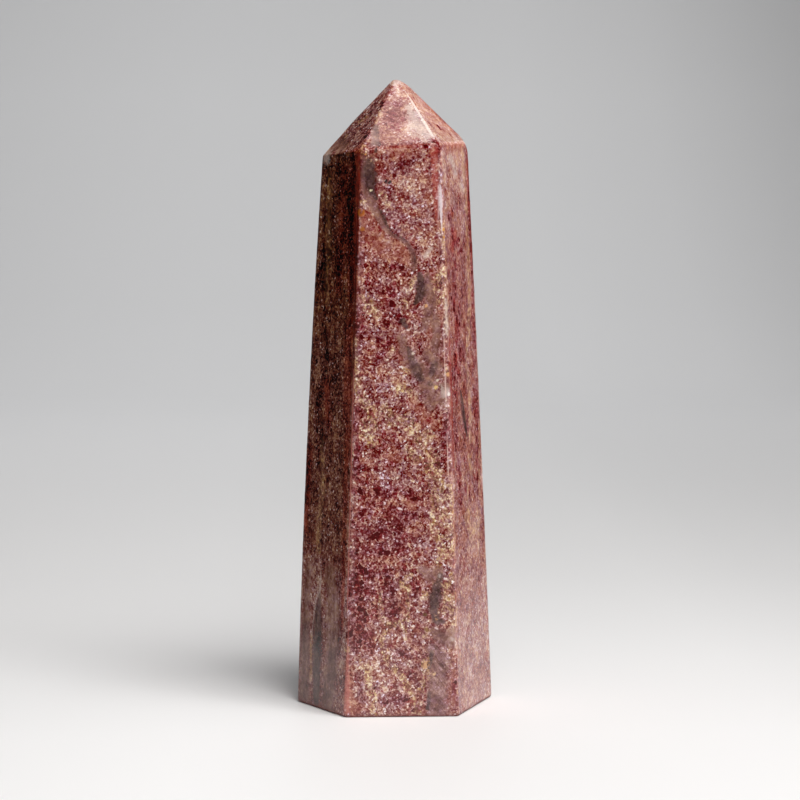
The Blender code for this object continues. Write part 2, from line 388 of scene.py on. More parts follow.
# where the minerals show on them: strokes through points given as mm to the right of the facet's middle, mm
# up and mm of half width. A single point is a round patch. Grey and mauve are clear and cloudy quartz, ember
# is red brown, grain is single dark grains, and fibre is drawn out in fine streaks.
# Some strokes paint light and shade: the pale and milky strokes over the right half of the tip front are
# painted sheen, the dim strokes along the lower border of the tip front are painted shade, and the ember
# strokes on the left facet beside the front left edge are painted glow.
minerals = {
    ("front", "grey"): [
        [(-5, 134, 0.3), (-5.2, 132.4, 0.4)],
        [(-6.4, 130, 1.1), (-6.7, 127.4, 1.7), (-6.5, 125, 1.5), (-6, 123, 0.9), (-5, 121.4, 0.4)],
        [(-4.2, 119, 0.3), (-3.2, 117.2, 0.45), (-2.6, 115.2, 0.35), (-1, 113.4, 0.25), (0.6, 112.6, 0.3),
         (2.2, 111.6, 0.25)], [(3.6, 109.2, 0.2), (4, 106.6, 0.25)],
        [(5, 104.2, 0.5), (5.3, 102.2, 1.2), (5.3, 100.2, 1.4), (4.8, 98.4, 0.9), (3.8, 97, 0.4)],
        [(1, 93, 0.9), (1.9, 91.8, 0.6)], [(2.2, 87, 0.4), (2.9, 85, 0.8), (3.9, 82.4, 1.2), (5, 79.8, 1.1)],
        [(7.8, 80.8, 0.8), (8.4, 83, 0.9)], (7.4, 78.4, 0.7),
        [(9.9, 33.4, 0.8), (9, 30.6, 1.2), (8.6, 28.2, 1.6), (8.2, 25.6, 1.2), (8.9, 22.8, 1),
         (10.4, 22.6, 0.6)], [(7.8, 15.6, 0.4), (7.6, 14, 0.5), (7, 11.8, 0.5)],
        [(7.2, 5.6, 0.5), (6.8, 2, 0.6)],
    ],
    ("front", "mauve"): [
        [(-7.6, 130.4, 1), (-7.9, 126.4, 1.2), (-7.2, 123, 1.2), (-6, 120.8, 1), (-4.9, 118.2, 1.1),
         (-3.9, 116.2, 0.9), (-3.2, 114.8, 0.6), (-1.6, 113.2, 0.4), (0.4, 112.2, 0.4), (2.2, 111, 0.6),
         (3.4, 109, 0.8), (3.8, 106.6, 0.8), (3.6, 104.8, 0.5)],
        [(6.8, 103.4, 0.9), (7, 100.8, 1.2), (7.6, 97.6, 1.5), (7, 94.4, 1.2), (6, 91.4, 1)],
        [(8.4, 94, 1), (9, 90, 1.2), (8.6, 86.4, 1.2)],
        [(0.8, 89, 1), (1.6, 86, 1.6), (3.6, 83, 2), (6.2, 80.4, 2.8), (7.4, 76.6, 3), (7.6, 73.4, 1.4)],
        [(6.6, 85, 1.4), (8.6, 83.2, 1.8), (8.8, 80.4, 1.6)], [(10.8, 77.8, 1.2), (10.2, 74.4, 1.2)],
        [(5.6, 34.6, 1.2), (7.4, 33.2, 1.8), (9.6, 34.6, 1.2)],
        [(8, 20.4, 1), (10.4, 18.6, 2.2), (12, 17.8, 1.6), (12.6, 20, 1.2)],
        [(8.2, 16, 1.8), (9.8, 13.8, 2.5), (9.4, 10.6, 2.6), (9.2, 7, 2.6), (9, 3, 2.7), (9, 0.4, 2.7)],
    ],
    ("front", "tan"): [
        [(-9, 133.6, 0.8), (-7.6, 131.8, 0.9), (-5.4, 130.6, 0.8)], (-8.3, 120.8, 0.9),
        [(-4, 122.4, 0.8), (-2.6, 120.8, 0.8)],
        [(3.9, 103.2, 0.6), (3, 101, 0.7), (2, 98.6, 0.7), (1.6, 96.4, 0.6)],
        [(9.4, 103.6, 0.9), (9, 101.4, 0.9), (9.3, 97.6, 0.6)],
        [(10.5, 115.4, 0.5), (10.7, 112, 0.7), (11.1, 107.6, 0.6), (11.1, 102.6, 0.8), (11.3, 98, 0.7),
         (11.6, 94, 0.8), (11.2, 90.6, 0.7)], [(-7.6, 99, 1.2), (-6.4, 96.4, 1.7), (-5, 94, 1)],
        [(-10.4, 89, 0.8), (-10.3, 84, 0.9), (-9.8, 79, 1.2), (-9.6, 76.4, 0.8)], (-1.4, 86.6, 0.8),
        (1.7, 81.4, 1), [(11.6, 82, 0.6), (11.8, 80.4, 0.8)],
        [(-1.6, 79.6, 1), (0.4, 77.6, 1.4), (2.6, 76.8, 1.2)],
        [(-8, 75, 1.6), (-6, 71.6, 1.6), (-7.4, 67.6, 2), (-6.4, 64.6, 1.2)],
        [(-3.6, 72.4, 1.4), (-1.6, 69.6, 1.6), (1.4, 70.6, 2), (3.8, 68, 1.6), (5, 64.8, 1.6),
         (7.2, 66.6, 1.6)], [(2, 63, 1.2), (4.4, 61, 1.2)],
        [(7.6, 62.2, 1.4), (8.2, 58.6, 1.9), (8.8, 55.6, 1.6), (9.4, 52, 1.9), (9, 48, 2), (8.6, 44.4, 1.2)],
        [(12.2, 54.6, 0.6), (12.6, 50.6, 0.7), (12.9, 46, 0.7)],
        [(9.6, 42, 1), (10.4, 38.4, 1.1), (9, 36.8, 0.7)],
        [(11.4, 46.4, 1.2), (12.6, 42.4, 1.1), (12.2, 38.6, 0.9)],
        [(12.8, 33.6, 0.8), (11.6, 30.8, 1.4), (11.9, 27.8, 1.6), (12.8, 25, 1), (13.2, 22.2, 0.8)],
        [(10.8, 25.4, 0.9), (8.9, 23.4, 0.8)],
        [(2.2, 33.2, 1), (0.8, 31.8, 0.8), (2.2, 30, 0.8), (2, 26.8, 0.4), (2.2, 24.4, 0.6),
         (1.4, 22.4, 0.8), (-0.8, 21.6, 0.7), (-2.8, 22.2, 0.8), (-4.2, 24.2, 0.7), (-4.4, 27.6, 0.4),
         (-4, 29.6, 0.4)], [(1.4, 22, 0.6), (1.4, 18.4, 0.7)],
        [(-2.8, 21, 0.6), (-4.2, 18, 0.7), (-3.4, 15.4, 0.8), (-2.6, 13, 0.9), (-0.6, 11, 0.7),
         (1, 9.4, 0.6), (2.4, 6.8, 0.6), (3.8, 4.6, 0.8), (4.6, 1.4, 1.1)],
        [(-8.6, 13.2, 1.2), (-7, 10, 1.1), (-6.6, 6.4, 1), (-6, 3.6, 1), (-6.2, 0.8, 1)],
        [(6.4, 29.4, 0.8), (6.3, 28.2, 0.9)], [(6.5, 21, 1), (6.1, 19.4, 0.8)], (-12.2, 15.8, 0.9),
        [(6.6, 14, 0.8), (6.2, 12, 1.2), (6.6, 9.8, 0.8), (5.4, 7.2, 0.6), (5, 4.4, 0.8), (5, 1.4, 0.8)],
        (8.2, 10.2, 0.8),
    ],
    ("front", "crimson"): [
        [(4.6, 134, 0.8), (7, 133.8, 1.1), (9, 133.8, 1)], [(9.2, 132.8, 0.7), (9.6, 130, 0.5)],
        [(-3.8, 128.8, 1), (-2.8, 126.6, 1)], [(0.4, 128.8, 0.8), (1.2, 131.4, 0.8)],
        [(-3, 124.2, 0.7), (-1, 123.4, 0.6)], [(0, 118.8, 0.9), (1.4, 116.4, 0.8)], (6.4, 115.4, 0.7),
        [(-1.6, 105.6, 0.6), (0.4, 105.6, 0.7), (1.4, 105.8, 0.5)],
        [(-7, 103.4, 1.2), (-6, 100.6, 1.4), (-3, 99.6, 1.6), (-1.2, 101, 1), (-2, 97, 1.4)],
        [(-9.4, 98.6, 0.8), (-9.2, 93.4, 1.2), (-8.6, 90.6, 1.2)], [(-3.6, 93.4, 1.2), (0.4, 93.6, 1)],
        [(-5, 88.6, 0.9), (-3, 87, 1.5), (-4.4, 84, 0.9)],
        [(-9.8, 72, 1), (-10, 67.6, 1.2), (-9.6, 63, 1.2), (-9.6, 56.6, 1.2)],
        [(11, 71, 0.9), (11.4, 67.6, 0.6), (10.6, 61, 1.3), (9.4, 60.2, 0.8)],
        [(-9.6, 52.6, 1.6), (-5.6, 53, 1.8), (-2, 53, 1.8), (2.2, 53.4, 1.6), (4.6, 51.4, 1.6)],
        [(-9.2, 48, 1.6), (-4, 49.4, 1.6), (0.6, 48, 1.6), (4, 47.6, 1)],
        [(-10.4, 45, 1.6), (-6, 43.4, 1.8), (-2, 43.6, 1.8), (2, 42, 1.4)],
        [(-10, 39, 1.9), (-5.4, 39.4, 1.9), (-1, 39, 1.6), (2.6, 39.6, 1.2)],
        [(-9.8, 34.6, 1.9), (-5.6, 34, 1.8), (-2, 33.6, 1.3)],
        [(-10.8, 29.6, 1.9), (-7.4, 29, 1.7), (-2.4, 30.2, 1.6)],
        [(-10.6, 24.6, 1.8), (-7.4, 23.6, 1.6), (-1.8, 25.4, 1.8)],
        [(-11, 19.6, 1.5), (-8, 19.4, 1.4), (-6.6, 16.6, 1.1)], [(4.2, 31.4, 0.8), (4, 28.6, 1)],
        [(6.6, 38.4, 0.8), (7.4, 37, 0.6)], [(0.6, 15, 0.9), (3, 14.6, 0.9)], (2.8, 9.8, 0.9),
        [(-3.6, 4.4, 1.2), (0.6, 3.6, 1.8)], [(13.2, 8.6, 0.7), (13.2, 4.6, 0.9), (13.2, 1.6, 0.8)],
        [(-10.8, 26.6, 1.6), (-9.6, 22.6, 1.8), (-9.4, 19, 1.4)], [(-10.6, 33.6, 1.6), (-8, 31, 1.6)],
    ],
    ("front", "rose"): [
        [(-7, 117.6, 1.6), (-6.2, 113.8, 2.6), (-3.4, 110.4, 2.8), (0.4, 109, 2.4), (1.6, 107, 1.2)],
        [(8, 104.6, 0.8), (7.4, 100, 1)], [(7.4, 93.4, 1), (8.6, 90, 1.6), (8.4, 86.8, 1.2)],
        [(0.6, 88, 1.2), (0.8, 85, 1.2)], [(3.4, 74.6, 1.2), (6, 70.6, 1.4), (8.4, 68.4, 1)], (3, 50.6, 1.8),
        (-1, 61.4, 2), [(11.4, 16, 1.2), (12.4, 13.4, 1.2)], [(12.4, 12, 1), (12, 6.4, 1.9), (11.2, 2, 2.2)],
        [(-11.6, 8.4, 1), (-12.2, 4, 1.4), (-10, 2.2, 1.6)], (3.4, 4, 1),
    ],
    ("front", "pale"): [
        [(3, 124.6, 2.2), (6.4, 122, 2.4), (8, 117.6, 1.6), (4.4, 118.4, 2)], [(5, 111.6, 1.2), (8, 112, 1)],
        (5.6, 107.6, 1.6), (5.8, 104.4, 1), (5.4, 95.6, 1.4),
        [(4.4, 76.2, 1), (5, 72.6, 1.8), (5.6, 68.4, 1.4)], (4.4, 44.4, 1.4), (8, 76.8, 0.9),
        (10.2, 68, 0.8), (5.4, 64, 1), (6.6, 57, 1.2), (-3.6, 68, 1.2), [(5, 16.6, 1.2), (8.4, 15.6, 1)],
        (7, 4, 0.9), [(5, 105.2, 0.35), (6, 107, 0.4), (7.2, 109.2, 0.45), (8.4, 110.8, 0.4)],
        (3.4, 85.4, 0.6), (-4.4, 79.8, 0.8), (9, 79.2, 0.7),
        [(10.4, 73, 0.7), (11.2, 75, 0.9), (11.9, 76.4, 0.6)], (-4.8, 60, 0.7), (-0.4, 56.4, 0.6),
        (-0.4, 51.2, 0.6), [(2.6, 59.6, 1.4), (5, 58, 1)], [(11, 51.6, 1), (6.2, 46.4, 1)],
        [(-8, 13.6, 1), (-5.6, 12.6, 1), (-3, 8.8, 1.2), (-9.4, 7, 1.2)], (2.2, 12.4, 1),
        [(7.8, 15.8, 0.4), (9.6, 14, 0.45), (11.6, 12, 0.4)], [(9, 12.4, 0.35), (12.4, 9.4, 0.4)],
        [(8.4, 9.4, 0.35), (10.8, 6, 0.4)], [(9.6, 6, 0.4), (11.4, 3, 0.4)], (5.6, 116.4, 1.4),
        (2, 100.4, 1), (2, 76, 1), (-2, 40.4, 1), (9.8, 76, 1), (12, 18.6, 0.7),
        [(-13.2, 8, 0.5), (-13.4, 3, 0.6)], [(4.6, 97, 1), (6.2, 95.8, 1.2)],
        [(2.6, 73.4, 1), (6.8, 71.6, 1.4)], (4.4, 63.4, 1), [(2.6, 43.6, 1.2), (5, 45.2, 1)], (7, 108.6, 1),
        (7.6, 65.4, 1.2), (6.4, 56.2, 1), (-3, 132.2, 1.4), (2, 120, 1.2),
        [(11.6, 119, 1.6), (12, 115.6, 1.7)], (8, 116, 1.4), (5, 104, 1.5), (2, 100, 1.4), (13.6, 132, 1),
        (4, 84, 1.2), [(12.2, 112, 0.7), (12.3, 96, 0.8), (12.8, 82, 0.8)], (12, 102, 1), (5, 96, 1.6),
        (12, 88, 0.8), (4, 72, 1.6), (6.4, 70, 2.1), (11, 69, 1.7), (2, 60, 1.3), (6, 56, 1.4),
        (10, 52, 1.3), (4, 45, 2.1), (-0.6, 43, 1.2), (-2, 40, 1.1), (10, 28, 1), (4, 16, 1.4),
        (10, 16, 0.9), (-12, 8, 1), (6, 4, 1.3), (-6, 8.4, 0.9),
        [(-12.4, 60, 1.1), (-12.6, 48, 1.2), (-13, 40, 0.8), (-13, 28, 1), (-13.2, 18, 1)],
    ],
    ("front", "dim"): [
        [(-10.8, 42, 1.2), (-10.4, 38, 1.4)], [(-10.4, 20, 1.2), (-10, 16, 1)],
        [(-10, 53, 1.2), (-7, 52.6, 1.6), (-3.6, 52, 1.2)], (11.8, 58.4, 1.6),
        [(-10.3, 58, 0.9), (-10.8, 44, 1.1), (-11.2, 30, 1)], [(-4.6, 119.6, 0.3), (-3, 115.8, 0.4)],
        [(-9.4, 73.4, 1.2), (-8.6, 70, 0.8)], (-5.4, 40.6, 1.2), [(-4, 104.2, 1), (-1.6, 103.6, 1)],
        (-6.6, 100.4, 1.2), (-9.4, 100, 0.8), [(-3, 92.6, 1), (-1.2, 88.6, 0.9)], (-1.6, 84.2, 0.8),
        # painted shade: the first stroke on the next line darkens the lower border of the tip front like the
        # front below it
        [(6, 134.2, 0.6), (9.2, 134.2, 0.8), (9.8, 133, 0.6)], [(0.6, 128.6, 1.6), (3, 130.8, 1.4)],
        (-6, 132.6, 0.8), (-2, 126.8, 1), [(2, 51.6, 1.4), (5.4, 52.4, 1.2)], (6.8, 84, 0.8),
        (9.8, 60.2, 1.6), [(2, 20.4, 0.9), (6, 20.2, 0.8)], (8.8, 36.6, 1.2), (-1.6, 123, 1.8),
        (4, 125, 1.4), (-8.2, 119, 1.1), (-1.2, 113, 1.6), (-4.2, 105.4, 2.2), (-12, 104, 1), (10, 102, 1.4),
        (10, 88, 0.9), [(-7.4, 79, 1.6), (-8, 70, 1.6)], (-0.4, 80, 1.4), (0, 68, 1.2), (-6, 62, 1.6),
        (6, 64, 1), (12, 58, 1.2), (-6.4, 52, 2.2), (-7, 40.6, 3), (3, 40, 1.4),
        [(-10, 36, 1.2), (-9.6, 28, 1.6)], (6.6, 36, 1.2), (-4, 32, 1.4), [(-9, 19, 1.8), (-4.6, 20, 1.8)],
        (10, 20, 0.9), (-2, 8, 1.2), (10, 8, 1.4), (2, 4, 1),
    ],
    ("front", "milky"): [
        [(9.8, 78.6, 0.3), (10.8, 75.6, 0.8), (11.5, 77.2, 0.5)], (12.6, 18.4, 0.6), (9.6, 33.4, 0.5),
        [(11.2, 98, 0.5), (11.4, 90, 0.5)], [(6.2, 108, 0.6), (7.6, 110, 0.6)],
    ],
    ("front", "fibre"): [[(8.6, 17, 1.8), (10.2, 12, 2.8), (9.8, 6, 3.2), (9.6, 1, 3.2)]],
    ("front", "grain"): [
        (-10.4, 24.4, 0.9), (-9.4, 21.4, 0.8), (-10, 33.8, 0.7), (-1, 126.9, 0.6), (3.4, 115.4, 0.5),
        (1.6, 116.2, 0.5), (6.5, 133.6, 0.7), (-0.2, 119.4, 0.6), (0.6, 105.5, 0.6), (-5.8, 103, 0.7),
        (-6.2, 101.2, 0.6), (-3.4, 99.8, 0.8), (-8.8, 89.4, 0.9), (-4.8, 88.6, 0.7), (-4.9, 72.8, 0.5),
        (-4.7, 62.5, 0.8), (-7, 58.4, 0.7), (-5.6, 58.4, 0.6), (-4.9, 53, 0.9), (2.7, 53.6, 0.9),
        (0.2, 66.6, 0.7), (-8.6, 48, 0.8), (0.4, 44.6, 0.7), (-10.4, 46, 0.6), (-6, 42.6, 0.9),
        (-4, 44.2, 0.7), (-4.2, 38.8, 0.8), (-3, 31.6, 0.8), (-6.2, 33, 0.8), (-4.2, 33.6, 0.5),
        (4.6, 30.4, 0.8), (-11.6, 29, 0.7), (-8.8, 28, 0.8), (-8, 23, 0.8), (-11.2, 20, 0.8),
        (-9.2, 18, 0.7), (6.9, 37.8, 0.6), (0.8, 15, 0.7), (8, 52.8, 0.5),
    ],
    ("left", "tan"): [
        [(-4, 129, 0.9), (-3, 123, 1.5), (-3.4, 117, 1.1), (-2.2, 110, 1.7), (-3, 103, 1.3), (-2, 97, 0.8)],
        [(-2.2, 66, 0.6), (-1.4, 57, 1.2), (-1.7, 48, 1.4), (-2.2, 38, 0.9)],
        [(-4.4, 18, 0.5), (-4.6, 12, 0.7), (-4.2, 6, 0.6)], [(8.8, 120, 0.5), (9, 130, 0.7)],
    ],
    ("left", "grey"): [
        [(-0.9, 27.6, 0.5), (-1.4, 24, 1.4), (-1.4, 17, 1.9), (-1.6, 8, 1.9), (-1.4, 2, 1.5)],
    ],
    ("left", "mauve"): [
        [(-6.6, 33, 1.6), (-6.8, 24, 1.8), (-7, 12, 2.4), (-7, 2, 2.4)],
        [(3.6, 33, 2.6), (5, 26, 3.2), (5.6, 18, 3.2), (5, 10, 3), (4, 2, 3)],
    ],
    ("left", "dim"): [
        [(1.6, 110, 1.4), (2, 104, 1.6)], [(8, 104, 1), (8.4, 98, 1)],
        [(-5.6, 76, 1.4), (-4.6, 70, 2.2), (-2, 65, 2.4), (-2, 58, 1.6)], [(-3, 91, 1.4), (-1, 84, 1.2)],
        (-5.4, 110, 1.4),
    ],
    ("left", "milky"): [
        (-5.4, 131.2, 1.6),
        [(-0.7, 32.8, 0.35), (-0.9, 28.6, 0.4), (-2.6, 25.6, 0.35), (-3.6, 21, 0.3), (-4.2, 17, 0.25)],
    ],
    ("left", "pale"): [
        [(-0.9, 34, 0.7), (-1.3, 30.6, 1), (-2.2, 27, 0.9), (-3.8, 23.8, 0.6), (-4.4, 19, 0.5)],
        [(-5.6, 32, 1.2), (-5.8, 24, 1.4)], [(-4, 8, 0.8), (-4.2, 3, 1)],
        [(-5.6, 131.4, 1.6), (-1.6, 130.6, 1.4)], [(4, 93.6, 1.4), (4.4, 87.4, 1.2)],
        [(5.6, 33, 2), (6, 26, 2.4), (5.6, 18, 2)], [(-8.8, 106, 1.4), (-8.8, 88, 1.5), (-9.4, 60, 1.2)],
        [(-5.6, 131, 2), (-6.6, 122, 1.4), (-6.4, 106, 1.2)], [(3.4, 121, 1.4), (3, 114, 1)],
        [(8, 126, 1.2), (8.2, 114, 1.2)], (-6, 118, 1.4), [(11, 66, 1), (10.8, 44, 1.2), (11, 20, 1)],
        (1, 130, 1.2), (2.4, 82, 1.8), (7.4, 52, 1.6), (-2, 35, 1.4), (-5, 22, 1.3),
    ],
    # painted glow: the ember strokes at 7 to 9.4 mm, beside the front left edge, stand for light shining
    # through the edge
    ("left", "ember"): [
        [(7.6, 132.4, 2.2), (7.4, 122, 2.8), (7.4, 112, 2.6), (8, 100, 1.6)],
        [(3.6, 128, 2.4), (3, 122, 2.6), (3.6, 116, 2.6), (3.4, 108, 2.2), (2.6, 100, 1.6)],
        [(-8.9, 120, 0.7), (-9.2, 96, 0.8), (-9.6, 70, 0.9), (-9.8, 56, 0.9)],
        [(-7.4, 62, 1.4), (-8, 50, 1.6), (-8.4, 42, 1.2)], [(-1, 78, 1.6), (0.6, 68, 1.4)],
        [(7.4, 92, 1.4), (7.8, 80, 1.4), (7.4, 70, 1)],
        [(8.4, 98, 1.2), (8.7, 70, 1.2), (9, 44, 1), (9.4, 20, 0.6)],
    ],
    ("left", "crimson"): [
        [(-7.6, 60, 1.2), (-8.2, 54, 1.4), (-8.6, 46, 1)],
        [(8.6, 128, 0.9), (8.8, 118, 0.9), (9.2, 108, 0.7)], [(-3, 66, 2), (0, 63, 1.6)],
    ],
    ("left", "rose"): [[(-8.4, 44, 1.2), (-4, 40, 1.4)]],
    ("right", "tan"): [
        [(4.4, 134, 0.9), (4.6, 124, 1.1), (5.2, 112, 1.1), (5, 100, 1.1), (3.4, 90, 1.2), (1, 84, 1)],
        [(-3, 46, 2), (0.4, 42, 2.2), (3.6, 43, 1.6)], [(0.6, 60, 1.2), (1.6, 55, 0.9)],
        [(0.8, 82, 1), (1.8, 73, 1.2), (1.4, 64, 1)], [(8.6, 68, 0.7), (7.6, 60, 0.9), (6.6, 51, 0.8)],
        [(5.4, 46, 0.8), (4.6, 36, 0.8)], [(-2.4, 57, 0.5), (-2.2, 50, 0.5)],
    ],
    ("right", "pale"): [
        [(-5, 130.6, 1.6), (-1, 131, 3), (3, 130, 3), (3, 124, 1.6)], (-7.4, 131, 1), (-3, 100.4, 1.4),
        (1, 94, 1.4), (-4.4, 88, 0.9), (-0.4, 119, 1), [(1, 83, 1.6), (2, 75, 1.8), (1.6, 66, 1.6)],
        (1.2, 58, 1.4), (-7.6, 118.6, 1.4), [(-6, 87, 1.3), (-6, 82, 1)], (-6.2, 70, 1.3),
        [(-4, 104, 2), (-4.2, 99, 2)], [(1.4, 129, 2), (1.2, 124.4, 2.2)], (0.2, 96, 1.8),
    ],
    ("right", "ember"): [
        [(7.8, 132.4, 1.3), (8.2, 126, 1.6), (8.2, 118, 1.6), (8.4, 106, 1.2)], (-5.4, 118.4, 1.3),
        (-4.4, 113, 1.8), (-6.4, 110, 1.6), (-6.4, 97.6, 1), (-5, 92, 1.8), (-7.2, 84, 1.8),
        (-5.2, 80.4, 1.4), (-7.6, 76, 1.2),
    ],
    ("right", "crimson"): [
        [(-7.4, 118, 1.2), (-5, 112, 1.8), (-1, 110, 1.8), (-5.4, 104, 2), (-6.4, 97, 1.8), (-4.6, 92, 1.8),
         (-7, 86, 1.8), (-7.4, 79, 1.8), (-2, 86, 1.8)],
        [(7.6, 133, 1.2), (8.2, 126, 1.5), (8.2, 116, 1.4), (7.8, 106, 1.2), (7, 78, 1.6), (6.6, 66, 1.6),
         (6.6, 54, 1.8)], [(-9, 66, 1.6), (-8, 60, 1.6), (-8, 51, 1.6), (-3, 53, 1.4)],
    ],
    ("right", "grain"): [
        (-5.2, 119, 0.7), (-5.4, 100.8, 0.9), (-5, 92.4, 1.2), (5.8, 54.6, 1.3), (-6.6, 96.4, 0.8),
        (-7.4, 85, 0.9),
    ],
    ("right", "grey"): [[(-4.4, 76, 0.6), (-3.4, 72, 1.3), (-2.2, 68.4, 1.2), (-1, 65.4, 0.6)]],
    ("right", "dim"): [
        [(8.4, 131, 1.6), (8.6, 122, 1.4)], [(-6, 47, 1.6), (-4.4, 46, 1.6)], (-4.4, 80, 1.2),
        [(-7.8, 131, 1.8), (-6.6, 125, 1.5)], (-2.8, 70.4, 1.3), [(-6.4, 64, 1.6), (-4, 61, 1.4)],
        (8, 64, 1.4), (6, 46.6, 1.2), (5.6, 88, 1.4),
    ],
    ("right", "milky"): [[(-4.6, 131, 1.4), (-1.6, 128, 1.4)], (2.4, 124.4, 1.2)],
    ("tipFront", "rose"): [[(0.6, 149, 3), (0.6, 142, 4), (1, 137, 7)]],
    # painted sheen: the second pale stroke here, over the right half of the tip front, stands for the light
    # it catches
    ("tipFront", "pale"): [
        [(0.6, 150.4, 1.4), (0.8, 147.4, 1.6)],
        [(2.6, 146, 1.2), (3.6, 143.4, 1.6), (5, 140, 2.6), (5.8, 137.2, 3.2), (7.8, 136.4, 2)],
        [(-6.6, 134.4, 0.6), (-5.4, 136.8, 0.6)],
    ],
    ("tipFront", "mauve"): [[(-4.6, 138, 1), (-4.4, 134.6, 1)]],
    ("tipFront", "tan"): [(-2, 138.4, 0.7), [(-3.9, 141, 0.5), (-3.2, 142.6, 0.4)], (-7.2, 133.8, 0.5)],
    ("tipFront", "crimson"): [
        [(1.6, 134.4, 0.8), (9, 134.8, 0.8)], (0.6, 144.2, 1.3), [(-1, 140.8, 1.6), (0.4, 138, 1.4)],
    ],
    ("tipFront", "dim"): [[(-4.6, 138.4, 0.9), (-3.2, 136.8, 1.4), (-1, 136.2, 1.2)]],
    # painted sheen: the long milky stroke over the right half of the tip front stands for the light it
    # catches
    ("tipFront", "milky"): [
        [(3.4, 143.4, 0.8), (4.6, 140.4, 1.8), (5.8, 138.2, 2.6), (7.6, 136.6, 1.8)], (0.6, 149.6, 1.2),
    ],
    ("tipRight", "rose"): [[(0, 149, 3), (0, 138, 8)]],
    ("tipRight", "crimson"): [[(-2, 138.4, 0.8), (1, 137.4, 0.8)]],
    ("tipRight", "pale"): [
        [(-8.6, 136.6, 1.2), (-4, 134.8, 1)], (-2, 142, 1), (3, 136.6, 1.6), (-3, 148, 1), (-2, 138.2, 1),
        (1.4, 138.2, 1.4),
    ],
    ("tipRight", "ember"): [[(3, 146.4, 0.7), (4.6, 142.6, 0.9), (5.8, 140, 0.9), (7, 137.4, 0.7)]],
    ("tipRight", "dim"): [[(3, 143.6, 1), (4.2, 140.4, 1.2)], (-6, 142.2, 0.9), (-4.6, 134.4, 0.9)],
    ("tipLeft", "crimson"): [
        [(1.4, 147.6, 0.9), (3.6, 144.6, 1.2), (4.6, 142, 1)], [(2.8, 141, 1), (3.6, 138.8, 1)],
        [(6, 137, 1.4), (8.4, 136, 1.2)],
    ],
    ("tipLeft", "tan"): [
        [(-0.6, 139.6, 0.8), (1.4, 141, 0.7)], (-2, 136.6, 0.7), [(6, 141.4, 0.6), (7.2, 139.6, 0.5)],
    ],
    ("tipLeft", "mauve"): [[(-4.6, 133.4, 2), (-2.4, 135.6, 2), (0.6, 133.6, 2)]],
    ("tipLeft", "pale"): [(-5.8, 133, 0.8), (6.4, 134.2, 1.2), (5.4, 140, 0.8), (-1.6, 145.6, 1)],
    ("tipLeft", "dim"): [
        [(-1.6, 140.2, 1.2), (1.4, 140, 1.4)], (2.2, 136, 1.4), (8.6, 140, 1.2), (11.6, 138, 0.9),
    ],
}
# what changes with height on a facet, in mm up and share: how much paler the stone is, which is partly its
# own tone and partly painted light and shade for how light falls on each facet, how red and how brown, how
# much quieter its grains are, how much is brownish grey, and how much runs in upright streaks
facetProfiles = {
    # painted light and shade: the left facet is darker towards its top, the right facet and the tip are
    # paler, the lowest strip of the tip front is darker like the front below it, and the right shoulder's
    # bevel is painted less pale where it catches the light
    "shade": {
        "left": [(0, -0.03), (12, -0.03), (20, 0.02), (30, 0.03), (40, -0.05), (70, -0.11), (92, -0.17),
                 (134, -0.22)],
        "tipLeft": [(133, 0), (136, -0.07), (150, -0.05)],
        "tipFront": [(133, -0.06), (134.2, -0.06), (134.8, 0.04), (142, 0.04), (150, 0.12)],
        "tipRight": [(133, 0.01), (134.4, 0.06), (135.3, 0.2), (150, 0.2)],
        "right": [(0, 0.13), (6, 0.11), (20, 0.08), (28, 0.1), (36, 0.13), (44, 0.08), (80, 0.05),
                  (120, 0.05), (126, 0.14), (132.4, 0.18), (133.6, 0)],
    },
    "red": {
        "right": [(0, 0.2), (30, 0.45), (134, 0.45)],
        "tipRight": [(133, 0), (136, 0.2), (139, 0.7), (144, 0.7), (147, 0.2)],
    },
    "brown": {
        "left": [(0, 0.1), (28, 0.15), (42, 0.6), (85, 0.7), (95, 1), (134, 1)],
        "tipLeft": [(133, 0.3), (150, 0.1)],
    },
    "calm": {
        "left": [(0, 0.28), (34, 0.25), (90, 0.2), (134, 0.12)],
        "right": [(0, 0.42), (80, 0.42), (110, 0.5), (134, 0.52)],
        "tipRight": [(133, 0.3), (150, 0.3)],
        "front": [(0, 0.02), (100, 0.02), (120, 0.15), (134, 0.15)],
    },
    "earth": {
        "left": [(0, 0.2), (28, 0.3), (42, 0.65), (134, 0.65)],
        "tipLeft": [(133, 0.3), (150, 0)],
    },
    "strand": {
        "left": [(0, 0.35), (40, 0.5), (134, 0.6)],
        "tipLeft": [(133, 0.3), (150, 0.3)],
        "right": [(0, 0.18), (134, 0.24)],
        "tipRight": [(133, 0.25), (150, 0.2)],
    },
}
